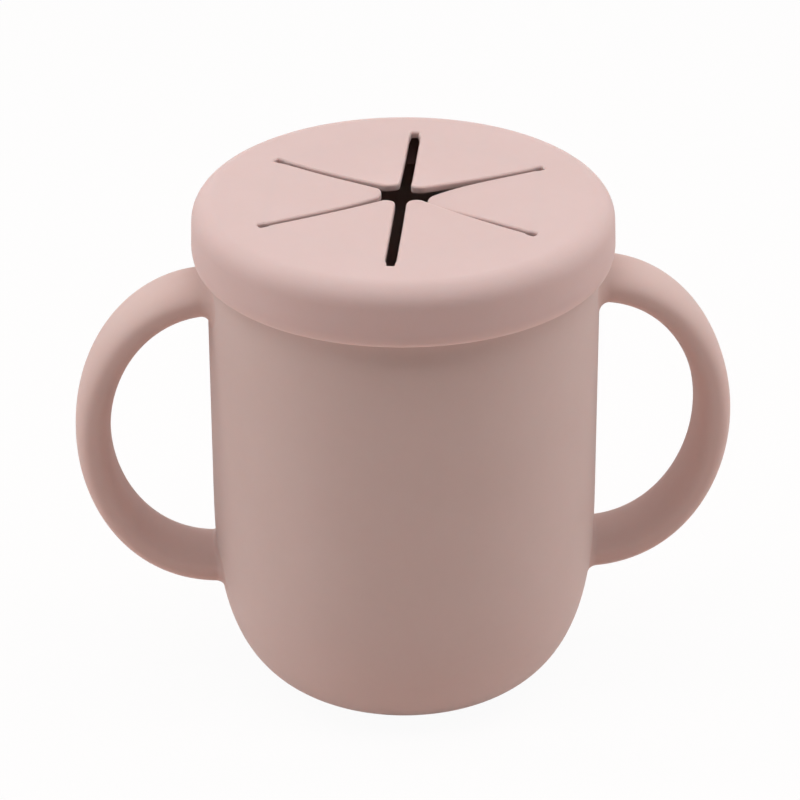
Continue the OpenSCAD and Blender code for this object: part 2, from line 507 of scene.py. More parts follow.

# %% [markdown]
# ### A painted highlight on the lip
# The lip at the bottom of the lid's skirt shows a pale line, where its edge catches light. That
# light
# is painted: a paler colour in a band just above the lip. Real scattering would be slow and grainy
# in so fine an edge. A mask by height is plain and enough, because the lip is level all the way
# round.

# %% The painted lip highlight group
def lip_highlight_group():
    """Where the lip's highlight is painted: 1 at a height and below it, fading to 0 over a band
    above.
    """
    inputs = [("Edge", FLOAT, 0.0), ("Band", FLOAT, 0.002)]
    tree, wires = new_tree("thin_edge", SHADER_TREE, inputs, [("Mask", FLOAT)])
    height = out(add_node(tree, "ShaderNodeSeparateXYZ", Vector=object_place(tree)), "Z")
    above = (height - wires["Edge"]) / wires["Band"]
    return finish_tree(tree, Mask=above.within(0.0, 1.0).from_number(1.0))


LIP_HIGHLIGHT = lip_highlight_group()
print("thin-edge group:", len(LIP_HIGHLIGHT.nodes), "nodes")

# %% [markdown]
# ## The finishes
# One function makes every silicone here. The constant things sit on the shader itself: how far
# light goes into the rubber, which warms its shadows, how little a matte surface mirrors, and the
# faint sheen that makes it look velvety at a glancing angle. The groups only feed what changes
# over the surface: colour, roughness and the height of the grain.

# %% Silicone
CLOUD_SIZE = 16
GRAIN_SIZE = 0.32
GRAIN_HEIGHT = 0.012
ROUGHNESS = 0.62
ROUGHNESS_SPREAD = 0.12
LINT_COLOUR = (0.86, 0.80, 0.77, 1)
LINT_SPACING = 7
LINT_SIZE = 0.16
LINT_SHARE = 0.25
LINT_COVER = 0.5
# The painted highlight on the lid's lip: its paler colour, and the band it fades out over.
LIP_HIGHLIGHT_COLOUR = (0.722, 0.552, 0.517, 1)
LIP_HIGHLIGHT_BAND = 2.4
SHADER_CONSTANTS = {
    "Subsurface Weight": 0.18,
    "Subsurface Radius": (1.0, 0.42, 0.30),
    "Subsurface Scale": 1.6 * MM,
    "Specular IOR Level": 0.07,
    "Sheen Weight": 0.055,
    "Sheen Roughness": 0.45,
}


def use_group(tree, group, **values):
    """Places a group in a material and sets its inputs."""
    return add_node(tree, "ShaderNodeGroup", {"node_tree": group}, **values)


def silicone(name, tone, other_tone, rough=ROUGHNESS, thin_edge_z=None):
    """Matte silicone with cloudy pigment, mould grain, a little lint and perhaps a painted lip
    highlight.
    """
    material = bpy.data.materials.new(name)
    material.use_nodes = True
    tree = material.node_tree
    shader = tree.nodes["Principled BSDF"]
    cloud = use_group(tree, CLOUD, Tone=tone, Other_tone=other_tone, Cloud_size=CLOUD_SIZE * MM)
    grain = use_group(tree, GRAIN, Grain_size=GRAIN_SIZE * MM, Roughness=rough,
                      Spread=ROUGHNESS_SPREAD)
    specks = use_group(tree, LINT, Spacing=LINT_SPACING * MM, Speck_size=LINT_SIZE * MM,
                       Share=LINT_SHARE)
    cover = out(specks, "Mask") * LINT_COVER
    colour = mixed_colour(tree, out(cloud, "Colour"), LINT_COLOUR, cover)
    # A paler band by height paints the highlight along the lid's lip.
    if thin_edge_z is not None:
        painted_lip = use_group(tree, LIP_HIGHLIGHT, Edge=thin_edge_z * MM, Band=LIP_HIGHLIGHT_BAND * MM)
        colour = mixed_colour(tree, colour, LIP_HIGHLIGHT_COLOUR, out(painted_lip, "Mask"))
    plug(tree, colour, shader.inputs["Base Color"])
    plug(tree, out(grain, "Roughness"), shader.inputs["Roughness"])
    bump = add_node(tree, "ShaderNodeBump", Height=out(grain, "Height"), Strength=1.0,
                    Distance=GRAIN_HEIGHT * MM)
    plug(tree, out(bump, "Normal"), shader.inputs["Normal"])
    for socket, value in SHADER_CONSTANTS.items():
        shader.inputs[socket].default_value = value
    print(f"{name}: {len(tree.nodes)} nodes, roughness about {rough}")
    return material


# %% [markdown]
# The cup, its grips and the lid are one kind of rubber. Their tones still differ by a few
# hundredths. The grips' tone is a little darker and redder than the cup's, as painted shade for the
# shade that falls on their inner sides, which face the cup. The seal ring is a little smoother, so
# that it slides in. Each finish has two close tones for the pigment to drift between.

# %% The four silicones
LIP_LOW = 0.3
LIP_Z = SKIRT_Z - LIP_LOW

CUP_SILICONE = silicone("cup_silicone", (0.640, 0.494, 0.459, 1), (0.662, 0.516, 0.483, 1))
# The grips' tone is a little darker and redder than the cup's: painted shade.
GRIP_SILICONE_SHADED = silicone("grip_silicone", (0.658, 0.476, 0.435, 1), (0.680, 0.498, 0.459, 1),
                         rough=0.6)
# The lid's finish carries the painted highlight along its lip.
LID_SILICONE = silicone("lid_silicone", (0.668, 0.489, 0.461, 1), (0.692, 0.512, 0.486, 1),
                        thin_edge_z=LIP_Z)
RING_SILICONE = silicone("ring_silicone", (0.655, 0.463, 0.433, 1), (0.680, 0.486, 0.456, 1),
                         rough=0.48)

# %% [markdown]
# ## The cup's wall
# The wall is turned in one go: from the middle of the hollow under the foot, up the rounded bottom
# and the straight side, over the rim and down the inside to the floor. A bevelled cylinder would
# show where its round begins. The superellipse leaves no such line and still gives a steady foot.

# %% Turn the cup
CUP_WALL = 2.8
CUP_FLOOR = 3.6
FOOT_R = 16.0
FOOT_RING = 4.0
FOOT_HOLLOW = 0.8
FOOT_ROUND = 0.5
BOTTOM_H = 40.0
BOTTOM_STEPS = 36
BOTTOM_POWER = 2.8
RIM_ROUND = 1.1
BORE = CUP_R - CUP_WALL


def cup_profile():
    """Half of the wall's section, from the axis underneath to the axis inside."""
    ring_in = FOOT_R - FOOT_RING
    foot = rounded([
        (0, FOOT_HOLLOW, 0),
        (ring_in - FOOT_HOLLOW, FOOT_HOLLOW, FOOT_ROUND),
        (ring_in, 0, FOOT_ROUND),
        (FOOT_R, 0, 0),
    ])
    outside = squarish(FOOT_R, 0, CUP_R, BOTTOM_H, BOTTOM_STEPS, BOTTOM_POWER)
    rim = rounded([
        (CUP_R, BOTTOM_H, 0),
        (CUP_R, CUP_H, RIM_ROUND),
        (BORE, CUP_H, RIM_ROUND),
        (BORE, BOTTOM_H, 0),
    ])
    floor_r = FOOT_R - CUP_WALL / 2
    inside = squarish(floor_r, CUP_FLOOR, BORE, BOTTOM_H, BOTTOM_STEPS, BOTTOM_POWER)
    return [*foot, *outside[1:], *rim[1:-1], *reversed(inside), Vector((0, CUP_FLOOR))]


cup_wall = grow("cup_wall", profile_curve("cup_profile", cup_profile()), LATHE,
                Finish=CUP_SILICONE)
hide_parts("cup_shell")
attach(cup_wall, "cup")

# %% [markdown]
# ## The grips
# A grip is a squarish oval band: flat enough on its broad sides to lie well in a small hand, and
# round at its edges. It follows half an ellipse and flares into the wall. A curve with a bevel
# object would make the band, but neither the flare nor a root that follows the curved wall. All
# three are rules, so a tree can hold them. It starts from a flat grid of points: one direction of
# the grid runs along the grip and the other round it. The first rule says where each row lies.
# Two more rows at each end lie inside the wall, where the skin is closed.

# %% Where the rows of a grip lie
GRIP_ROWS = 121
GRIP_POINTS_ROUND = 73
TUCKED_ROWS = 2


def grip_rows(grid_share, wires):
    """Along the grip, -1 to 1, and two shares that are 1 from the first and second tucked row."""
    row = grid_share * (wires["Along"] + (2.0 * TUCKED_ROWS - 1.0))
    last = (wires["Along"] - 1.0) / 2.0
    signed = (row - TUCKED_ROWS) / last - 1.0
    beyond = ((signed.size() - 1.0) * last).at_least(0.0)
    tucked = beyond.at_most(1.0)
    capped = (beyond - 1.0).within(0.0, 1.0)
    return signed.within(-1.0, 1.0), tucked, capped


# %% [markdown]
# The second rule is the flare: near the wall the section grows by a quarter round, which has a
# smaller radius at the lower root. The third is the wall itself, because the lower root meets the
# cup where its bottom curves in, and has to lean back to it.

# %% The flare and the wall behind a grip
def flare_by(along, away, wires):
    """How much the section grows, this far from the wall."""
    lower = along.math("LESS_THAN", 0.0)
    round_r = wires["Blend"] + (wires["Low blend"] - wires["Blend"]) * lower
    short = (round_r - away).at_least(0.0)
    return round_r - (round_r ** 2.0 - short ** 2.0).root()


def wall_back(up, wide, wires):
    """How far the wall lies behind the plane that touches its side."""
    drop = ((wires["Bottom"] - up) / wires["Bottom"]).at_least(0.0)
    bulge = (drop ** BOTTOM_POWER).from_number(1.0) ** (1 / BOTTOM_POWER)
    wall_r = wires["Foot"] + (wires["Wall"] - wires["Foot"]) * bulge
    return wires["Wall"] - (wall_r ** 2.0 - wide ** 2.0).root()


def squared(wave, share):
    """A sine or cosine drawn towards a square wave. A pair of them goes round a superellipse."""
    return wave.math("SIGN") * wave.size() ** share


# %% [markdown]
# The tree puts the rules together, and Set Position moves every point of the grid to where they
# say. The rows are crowded towards the roots, where the flare needs them.

# %% The grip tree
GRIP_TUCK = 0.05
GRIP_SPREAD = 0.5
GRIP_SINK = 1.0


def grip_tree():
    """A band with a superellipse section along half an ellipse, flared and leant to a wall."""
    lengths = ("Reach", "Rise", "Thickness", "Width", "Blend", "Low blend",
               "Wall", "Foot", "Bottom", "Middle")
    inputs = [(name, FLOAT, 0.01) for name in lengths] + [("Squareness", FLOAT, 2.0)]
    counts = [("Along", INTEGER, GRIP_ROWS), ("Around", INTEGER, GRIP_POINTS_ROUND)]
    tree, wires = geometry_tree("grip", *inputs, *counts, ("Turn", FLOAT, 0.0))
    rows = wires["Along"] + 2.0 * TUCKED_ROWS
    grid = add_node(tree, "GeometryNodeMeshGrid", Vertices_X=rows, Vertices_Y=wires["Around"])
    spot = add_node(tree, "ShaderNodeSeparateXYZ", Vector=out(grid, "UV Map"))
    along, tucked, capped = grip_rows(out(spot, "X"), wires)
    # The middle line of the band: half an ellipse that stands on the wall.
    crowded = (along.size().from_number(1.0) ** 2.0).from_number(1.0)
    angle = along.math("SIGN") * crowded * (math.pi / 2)
    away = (wires["Reach"] * angle.math("COSINE")).at_least(0.0)
    lift = wires["Rise"] * angle.math("SINE")
    slope_x = wires["Rise"] * angle.math("COSINE")
    slope_z = wires["Reach"] * angle.math("SINE")
    slope = (slope_x ** 2.0 + slope_z ** 2.0).root()
    # The section round it, which shrinks to a point in the last row.
    flare = flare_by(along, away, wires) + tucked * (GRIP_SPREAD * MM)
    open_share = capped.from_number(1.0)
    around = out(spot, "Y") * (2 * math.pi)
    share = wires["Squareness"].math("POWER", -1.0) * 2.0
    half_thick = wires["Thickness"] / 2.0 + flare
    half_wide = wires["Width"] / 2.0 + flare
    thick = half_thick * squared(around.math("COSINE"), share) * open_share
    wide = half_wide * squared(around.math("SINE"), share) * open_share
    # The roots lean back to the wall, and the tucked rows sink into it.
    up = wires["Middle"] + lift + thick * slope_z / slope
    lean = (away / wires["Reach"]).from_number(1.0) ** 2.0
    depth = tucked * (GRIP_TUCK * MM) + capped * (GRIP_SINK * MM)
    across = wires["Wall"] + away + thick * slope_x / slope
    across = across - lean * wall_back(up, wide, wires) - depth
    target = add_node(tree, "ShaderNodeCombineXYZ", X=across, Y=wide, Z=up)
    shaped = add_node(tree, "GeometryNodeSetPosition", Geometry=out(grid, "Mesh"),
                      Position=out(target))
    return end_geometry(tree, wires, turned_by(tree, wires["Turn"], out(shaped)))


GRIP = grip_tree()
print("grip tree:", len(GRIP.nodes), "nodes")

# %% [markdown]
# The same tree makes both grips. The left one is turned half round and not mirrored, because a
# mirror would turn its faces inside out, and the grip is the same either way. Its height follows
# from the lid: the round of its upper root ends a little below the skirt.

# %% Sweep both grips
GRIP_REACH = 22.6
GRIP_RISE = 28.8
GRIP_T = 6.7
GRIP_W = 14.7
GRIP_SQUARENESS = 2.5
GRIP_BLEND = 2.2
GRIP_LOW_BLEND = 1.2
GRIP_DROP = 1.2
GRIP_Z = SKIRT_Z - GRIP_DROP - GRIP_BLEND - GRIP_T / 2 - GRIP_RISE


def add_grip(name, node, turn):
    """One grip, turned about the cup's axis, in place of a CAD node."""
    piece = grow(name, bpy.data.meshes.new(name), GRIP, Finish=GRIP_SILICONE_SHADED, Turn=turn,
                 Reach=GRIP_REACH * MM, Rise=GRIP_RISE * MM, Thickness=GRIP_T * MM,
                 Width=GRIP_W * MM, Squareness=GRIP_SQUARENESS,
                 Blend=GRIP_BLEND * MM, Low_blend=GRIP_LOW_BLEND * MM,
                 Wall=CUP_R * MM, Foot=FOOT_R * MM, Bottom=BOTTOM_H * MM, Middle=GRIP_Z * MM)
    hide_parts(node)
    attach(piece, "cup")


add_grip("right_grip", "handle_right", 0.0)
add_grip("left_grip", "handle_left", math.pi)

# %% [markdown]
# ## The seal ring
# Under the cap a ring plugs into the cup, and two round ribs on it seal against the wall. It shows
# when the lid is lifted. The ribs could be two tori pushed into the ring, but then their faces
# would cross its own. Drawn into the profile they are one skin with it. The profile is closed, so
# the lathe makes a closed ring.

# %% Turn the seal ring
RING_T = 2.1
RING_FIT = 0.5
RING_ROUND = 0.5
RING_OUT = BORE - RING_FIT
RING_IN = RING_OUT - RING_T
RIB_R = 0.42
RIB_COUNT = 2
RIB_STEPS = 8


def ring_profile():
    """The ring's section, with a half circle on its outer side for each rib."""
    pitch = (CUP_H - RING_Z) / (RIB_COUNT + 1)
    points = rounded([
        (RING_IN, CUP_H, 0),
        (RING_IN, RING_Z, RING_ROUND),
        (RING_OUT, RING_Z, RING_ROUND),
        (RING_OUT, CUP_H, 0),
    ])
    top = points.pop()
    for rib in range(1, RIB_COUNT + 1):
        middle = Vector((RING_OUT, RING_Z + rib * pitch))
        points += arc(middle, RIB_R, -math.pi / 2, math.pi / 2, RIB_STEPS)
    return [*points, top]


seal_ring = grow("seal_ring_skin", profile_curve("ring_profile", ring_profile(), closed=True),
                 LATHE, Finish=RING_SILICONE)
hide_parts("seal_ring")
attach(seal_ring, "seal_ring")

# %% [markdown]
# ## Where the flaps bend
# Six slits run out from the middle of the lid, and the six flaps between them are one piece with
# the cap. Each flap has its own joint in the frame. The joint's place gives the flap's direction
# and how far its bend line lies from the axis. It lies half way down the rubber, which gives the
# rubber's thickness.

# %% Read the flaps' joints
flap_joints = [joint for joint in frame["joints"] if joint["name"].endswith("_bend")]
FLAP_COUNT = len(flap_joints)
HALF_FLAP = math.pi / FLAP_COUNT
FLAP_TURNS = [math.atan2(joint["pos_m"][1], joint["pos_m"][0]) for joint in flap_joints]
HINGE_R = math.hypot(*flap_joints[0]["pos_m"][:2]) / MM
FLAP_T = 2 * (LID_Z - flap_joints[0]["pos_m"][2] / MM)
SLIT_W = 1.5
SLIT_R = HINGE_R / math.cos(HALF_FLAP) + SLIT_W / 2
print(f"{FLAP_COUNT} flaps, {FLAP_T:.1f} mm thick, that bend {HINGE_R:.1f} mm from the axis")

# %% [markdown]
# ## The edge that flaps and cap share
# A flap has to bend and the cap mustn't, so they are separate meshes that meet face to face on the
# bend line. Cutting the slits out of a finished lid would leave long thin faces along them, which
# shade badly and bend worse. Here every slit's edge is a stack of outlines instead, each moved into
# the rubber by an offset and set at a height. Both sides of a slit use the same stack, so the small
# rounds run on across the bend line without a step.

# %% The rounded edge of a slit
EDGE_ROUND = 0.5
UNDER_ROUND = 0.2
EDGE_STEPS = 5


def slit_edge():
    """(offset into the rubber, height) from the top face, round both edges, to the underside."""
    below = LID_Z - FLAP_T
    angles = [math.pi / 2 * step / EDGE_STEPS for step in range(EDGE_STEPS + 1)]
    edge = [(EDGE_ROUND + ARC_MARGIN, LID_Z)]
    for a in angles:
        edge.append((EDGE_ROUND * (1 - math.sin(a)), LID_Z - EDGE_ROUND * (1 - math.cos(a))))
    for a in angles:
        edge.append((UNDER_ROUND * (1 - math.cos(a)), below + UNDER_ROUND * (1 - math.sin(a))))
    edge.append((UNDER_ROUND + ARC_MARGIN, below))
    return edge


def apex(offset):
    """How far from the axis the two edges of a flap would meet, when moved in by offset."""
    return (SLIT_W / 2 + offset) / math.sin(HALF_FLAP)


def root_half(offset):
    """Half the flap's width at its bend line, when its edges are moved in by offset."""
    return (HINGE_R - apex(offset)) * math.tan(HALF_FLAP)


SLIT_EDGE = slit_edge()
print(f"slit edge: {len(SLIT_EDGE)} outlines, flap {2 * root_half(0):.1f} mm wide at its bend line")

# %% [markdown]
# Both meshes are built from the same two things: sheets, which are rows of points with a face
# between every four, and the flat face on the bend line, whose edges stay sharp. Points that
# coincide are merged, which closes the skin.

# %% Skin rows of points
def skin(name, sheets, faces):
    """A mesh in millimetres from sheets, which are rows of points, and faces with sharp edges."""
    mesh = bmesh.new()
    for rows in sheets:
        spots = [[mesh.verts.new(Vector(point) * MM) for point in row] for row in rows]
        for low, high in zip(spots, spots[1:]):
            for corner in range(len(low) - 1):
                mesh.faces.new((low[corner], low[corner + 1], high[corner + 1], high[corner]))
    flat = [mesh.faces.new([mesh.verts.new(Vector(point) * MM) for point in outline])
            for outline in faces]
    bmesh.ops.remove_doubles(mesh, verts=mesh.verts, dist=MERGE)
    for face in flat:
        for edge in face.edges:
            edge.smooth = False
    bmesh.ops.recalc_face_normals(mesh, faces=mesh.faces)
    data = bpy.data.meshes.new(name)
    mesh.to_mesh(data)
    mesh.free()
    return data


def between(first, last, steps):
    """Evenly spaced points on a line."""
    first, last = Vector(first), Vector(last)
    return [first.lerp(last, step / steps) for step in range(steps + 1)]


def bend_face(top, bottom):
    """The face on the bend line, from its top row and bottom row. Flap and cap share it."""
    right = [(HINGE_R, root_half(offset), height) for offset, height in SLIT_EDGE]
    left = [(x, -y, z) for x, y, z in right]
    return [*top, *left[1:-1], *reversed(bottom), *reversed(right[1:-1])]


# %% [markdown]
# ## One flap
# A flap is a triangle with a round tip. Its outline is symmetric, so the points on its two sides
# pair up, and each pair is a row of the grid that fills its top. Moving the sides in by an offset
# gives the rounded edge. The rows are what lets it bend: they lie along the bend line, and they
# are closer together near it.

# %% Outline a flap
TIP_R = 2.0
TIP_MIDDLE = apex(0) + TIP_R / math.sin(HALF_FLAP)
SIDE_ROWS = 34
SIDE_CROWDING = 1.4
TIP_ROWS = 14


def flap_side(offset):
    """One side of the flap's outline, from the bend line to the middle of the tip."""
    radius = TIP_R - offset
    start = Vector((HINGE_R, root_half(offset)))
    turn_in = math.pi / 2 + HALF_FLAP
    touch = Vector((TIP_MIDDLE + radius * math.cos(turn_in), radius * math.sin(turn_in)))
    shares = [(row / SIDE_ROWS) ** SIDE_CROWDING for row in range(SIDE_ROWS)]
    side = [start.lerp(touch, share) for share in shares]
    return side + arc(Vector((TIP_MIDDLE, 0)), radius, turn_in, math.pi, TIP_ROWS)


def flap_loop(offset, height):
    """The whole outline at one offset, from one end of the bend line to the other."""
    side = flap_side(offset)
    there = [(point.x, point.y, height) for point in side]
    back = [(point.x, -point.y, height) for point in side[-2::-1]]
    return there + back


print(f"flap tip: {TIP_R:.1f} mm round, {TIP_MIDDLE - TIP_R:.1f} mm from the axis")

# %% [markdown]
# The flap's skin is three sheets: the grid on top, the grid below, and the stack of outlines that
# rounds the edge between them. The flat face on the bend line closes it.

# %% Model one flap
FLAP_COLUMNS = 20


def flap_face(offset, height):
    """The grid that fills the outline, one row for each pair of points."""
    rows = []
    for point in flap_side(offset):
        ends = (point.x, point.y, height), (point.x, -point.y, height)
        rows.append(between(*ends, FLAP_COLUMNS))
    return rows


def flap_mesh():
    """A level flap that points along X, with its tip towards the axis."""
    top = flap_face(*SLIT_EDGE[0])
    bottom = flap_face(*SLIT_EDGE[-1])
    edge = [flap_loop(offset, height) for offset, height in SLIT_EDGE]
    return skin("flap", [top, bottom, edge], [bend_face(top[0], bottom[0])])


one_flap = flap_mesh()
print("one flap:", len(one_flap.vertices), "points")

# %% [markdown]
# ## Six flaps from one
# Soft flaps never lie quite level or quite in line. Six meshes could each be pushed into shape by
# hand, but then no one could say what was done to them. Here one tree gives every flap its own set,
# from inputs that can be read and changed. The lift grows with the cube of the distance from the
# bend line, so a flap stays level for most of its length and curls at its tip. A swell moves one
# side out into its slit, or back from it, and fades out at the bend line, where the cap begins.

# %% The flap tree
SWELL_START = 0.04
CURL_POWER = 3.0


def flap_tree():
    """Lifts, rolls and pulls a flap's tip, moves its sides and turns it to its place."""
    inputs = [("Root", FLOAT, 0.02), ("Length", FLOAT, 0.02), ("Apex", FLOAT, 0.001),
              ("Lift", FLOAT, 0.0), ("Roll", FLOAT, 0.0), ("Pull", FLOAT, 0.0),
              ("Left swell", FLOAT, 0.0), ("Right swell", FLOAT, 0.0), ("Turn", FLOAT, 0.0)]
    tree, wires = geometry_tree("flap", *inputs)
    spot = add_node(tree, "ShaderNodeSeparateXYZ",
                    Vector=out(add_node(tree, "GeometryNodeInputPosition")))
    across, aside = out(spot, "X"), out(spot, "Y")
    share = ((wires["Root"] - across) / wires["Length"]).at_least(0.0)
    lift = share ** CURL_POWER * (wires["Lift"] + aside * wires["Roll"])
    half_width = (across - wires["Apex"]) * math.tan(HALF_FLAP)
    side = (aside / half_width).within(-1.0, 1.0)
    swell = side.at_least(0.0) * wires["Left swell"] + side.at_most(0.0) * wires["Right swell"]
    swell = swell * (share / SWELL_START).at_most(1.0)
    offset = add_node(tree, "ShaderNodeCombineXYZ", X=share ** 2.0 * wires["Pull"], Y=swell, Z=lift)
    shaped = add_node(tree, "GeometryNodeSetPosition", Geometry=wires["Geometry"],
                      Offset=out(offset))
    return end_geometry(tree, wires, turned_by(tree, wires["Turn"], out(shaped)))


FLAP = flap_tree()
print("flap tree:", len(FLAP.nodes), "nodes")

# %% [markdown]
# Each flap's own set is in millimetres: how far its tip has lifted, how far the tip is drawn back
# to the bend line, and how far its left and right sides have moved out into the slits. Its roll is
# a slope: above 0, the left side lies higher. Five tips have lifted, and one has dropped by almost
# a millimetre. Four slits are nearly shut, and the two that lie in line from front to back stand
# open.

# %% Shape the six flaps
FLAP_LENGTH = HINGE_R - TIP_MIDDLE + TIP_R
TIGHT = 0.27
SHUT = 0.36
WIDE = -0.2
WIDEST = -0.45
FLAP_SETS = [
    {"Lift": 0.7, "Pull": 0.0, "Left_swell": WIDEST, "Right_swell": TIGHT},
    {"Lift": 0.9, "Pull": 0.2, "Left_swell": TIGHT, "Right_swell": WIDE},
    {"Lift": 0.65, "Pull": 0.6, "Left_swell": TIGHT, "Right_swell": TIGHT},
    {"Lift": 0.5, "Pull": 0.0, "Left_swell": WIDEST, "Right_swell": TIGHT},
    {"Lift": 0.75, "Pull": 0.0, "Left_swell": SHUT, "Right_swell": WIDE},
    {"Lift": -0.85, "Pull": 1.0, "Left_swell": TIGHT, "Right_swell": SHUT},
]
FLAP_ROLLS = [-0.12, 0.06, -0.1, 0.0, 0.0, 0.14]

for number, (turn, own_set, roll) in enumerate(zip(FLAP_TURNS, FLAP_SETS, FLAP_ROLLS), start=1):
    in_metres = {name: value * MM for name, value in own_set.items()}
    flap = grow(f"flap_{number}_skin", one_flap.copy(), FLAP, Finish=LID_SILICONE, Turn=turn,
                Root=HINGE_R * MM, Length=FLAP_LENGTH * MM, Apex=apex(0) * MM, Roll=roll,
                **in_metres)
    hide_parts(f"flap_{number}")
    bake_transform(flap)

# %% [markdown]
# ## The cap's opening
# The cap repeats six times round the axis, with half a slit's end at both sides of each sixth. So
# only one sixth is modelled. Its inner edge is the outline of the opening: half a slit's end, the
# bend line, and half of the next slit's end. The ends have small rounds, because soft rubber
# starts to tear at a sharp corner.

# %% Outline the opening
END_ROUND = 0.3
END_STEPS = 4


def slit_end(offset):
    """Half the end of a slit, from the flap's corner to the middle of the slit."""
    far = SLIT_R + offset
    side = SLIT_W / 2 + offset
    radius = END_ROUND + offset
    start = Vector((HINGE_R, root_half(offset)))
    out_way = Vector((math.cos(HALF_FLAP), math.sin(HALF_FLAP)))
    in_way = Vector((out_way.y, -out_way.x))
    centre = out_way * (far - radius) + in_way * (side - radius)
    turned = []
    for step in range(END_STEPS + 1):
        a = math.pi / 2 * step / END_STEPS
        turned.append(centre + radius * (in_way * math.cos(a) + out_way * math.sin(a)))
    return [start, *turned, out_way * far]


def opening(offset):
    """The inner edge of the sixth, from slit to slit."""
    end = slit_end(offset)
    mirrored = [Vector((point.x, -point.y)) for point in reversed(end)]
    chord = between(mirrored[-1], end[0], FLAP_COLUMNS)[1:-1]
    return mirrored + chord + end


print(f"opening: {len(opening(0))} points, the slits end {SLIT_R:.1f} mm from the axis")

# %% [markdown]
# ## The cap's section
# Outside the opening the cap is a body of revolution, and this is its profile: over the flat top,
# down the large shoulder and the skirt, round the lip and back up inside. The skirt ends in a soft
# lip. A small bevel would look hard there, so the lip is a quarter of an ellipse, with a slow start
# on the skirt and a quick turn at the bottom.

# %% Draw the cap's profile
SKIRT_T = 2.65
SKIRT_DRAFT = 0.3
SHOULDER_R = 4.2
LIP_H = 3.0
LIP_IN = 1.2
LIP_STEPS = 12
LIP_POWER = 2.0
LEAD_IN = 0.4
LEAD_ROUND = 0.25
POCKET_ROUND = 0.5
STEP_ROUND = 0.2
PLATE_ROUND = 0.3
TOP_MARGIN = 2
UNDER_MARGIN = 0.8


def cap_profile():
    """From the flat top over the shoulder and the skirt to the underside of the plate."""
    shoulder_r = SKIRT_R - SKIRT_DRAFT
    skirt_in = SKIRT_R - SKIRT_T
    lip_in = SKIRT_R - LIP_IN
    lip_top = LIP_Z + LIP_H
    below = LID_Z - FLAP_T
    shoulder = rounded([
        (shoulder_r - SHOULDER_R - TOP_MARGIN, LID_Z, 0),
        (shoulder_r, LID_Z, SHOULDER_R),
        (SKIRT_R, lip_top, 0),
    ])
    lip = squarish(lip_in, LIP_Z, SKIRT_R, lip_top, LIP_STEPS, LIP_POWER)
    under = rounded([
        (lip_in, LIP_Z, 0),
        (skirt_in + LEAD_IN, LIP_Z, LEAD_ROUND),
        (skirt_in, SKIRT_Z + LEAD_IN, LEAD_ROUND),
        (skirt_in, CUP_H, POCKET_ROUND),
        (RING_IN, CUP_H, STEP_ROUND),
        (RING_IN - (LID_Z - CUP_H - FLAP_T), below, PLATE_ROUND),
        (SLIT_R + UNDER_MARGIN, below, 0),
    ])
    return [*shoulder[:-1], *lip[:0:-1], *under]


print("cap profile:", len(cap_profile()), "points")

# %% [markdown]
# ## One sixth of the cap
# A column of points starts on the edge of the opening, runs out over the top, down the shoulder
# and the skirt, in under the plate, and back to the opening. Where the column starts on the bend
# line it ends in the flat face that the flap shares, and elsewhere in a rounded edge. Most of the
# columns belong to the bend line, so that they carry on from the flap's own without a kink.

# %% Model a sixth of the cap
CHORD_SHARE = 0.86
CAP_ROWS = 5


def cap_columns():
    """The angle of each column where it leaves the flat of the lid."""
    ends = len(slit_end(0))
    chord = HALF_FLAP * CHORD_SHARE
    side = [chord + (HALF_FLAP - chord) * step / (ends - 1) for step in range(ends)]
    middle = [-chord + 2 * chord * step / FLAP_COLUMNS for step in range(1, FLAP_COLUMNS)]
    return [-angle for angle in reversed(side)] + middle + side


def cap_mesh():
    """A sixth of the cap that is centred on X, open at both sides, where its copies join."""
    top_edge, bottom_edge = SLIT_EDGE[0], SLIT_EDGE[-1]
    angles = cap_columns()
    rings = [[(r * math.cos(a), r * math.sin(a), z) for a in angles] for r, z in cap_profile()]
    top_in = [(x, y, top_edge[1]) for x, y in opening(top_edge[0])]
    bottom_in = [(x, y, bottom_edge[1]) for x, y in opening(bottom_edge[0])]
    over = [between(*ends, CAP_ROWS) for ends in zip(top_in, rings[0])]
    under = [between(*ends, CAP_ROWS) for ends in zip(rings[-1], bottom_in)]
    columns = [[*a[:-1], *ring, *b[1:]] for a, ring, b in zip(over, zip(*rings), under)]
    right = [[(x, y, height) for x, y in slit_end(offset)] for offset, height in SLIT_EDGE]
    left = [[(x, -y, z) for x, y, z in row] for row in right]
    start = len(slit_end(0)) - 1
    chord = slice(start, start + FLAP_COLUMNS + 1)
    face = bend_face(top_in[chord][::-1], bottom_in[chord][::-1])
    return skin("cap_sixth", [columns, right, left], [face])


one_sixth = cap_mesh()
print("one sixth of the cap:", len(one_sixth.vertices), "points")

# %% [markdown]
# ## Six sixths
# An Array modifier could turn the copies about an empty object. Instance on Points needs no helper
# object: it sets the sixth round the axis as many times as there are flaps, and each point's number
# gives the turn. Realizing the instances and merging their seams makes one closed skin of them.

# %% Repeat it round the axis
def ring_of_tree():
    """Copies of a piece, evenly turned about the axis."""
    inputs = [("Count", INTEGER, 6), ("Turn", FLOAT, 0.0)]
    tree, wires = geometry_tree("ring_of_copies", *inputs)
    points = add_node(tree, "GeometryNodePoints", Count=wires["Count"])
    step = out(add_node(tree, "GeometryNodeInputIndex")) / wires["Count"] * (2 * math.pi)
    turn = add_node(tree, "ShaderNodeCombineXYZ", Z=step + wires["Turn"])
    copies = add_node(tree, "GeometryNodeInstanceOnPoints", Points=out(points),
                      Instance=wires["Geometry"], Rotation=out(turn))
    return end_geometry(tree, wires, out(copies))


lid_cap = grow("lid_cap", one_sixth, ring_of_tree(), Finish=LID_SILICONE, Count=FLAP_COUNT,
               Turn=FLAP_TURNS[0])
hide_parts("lid_shell")
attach(lid_cap, "lid")

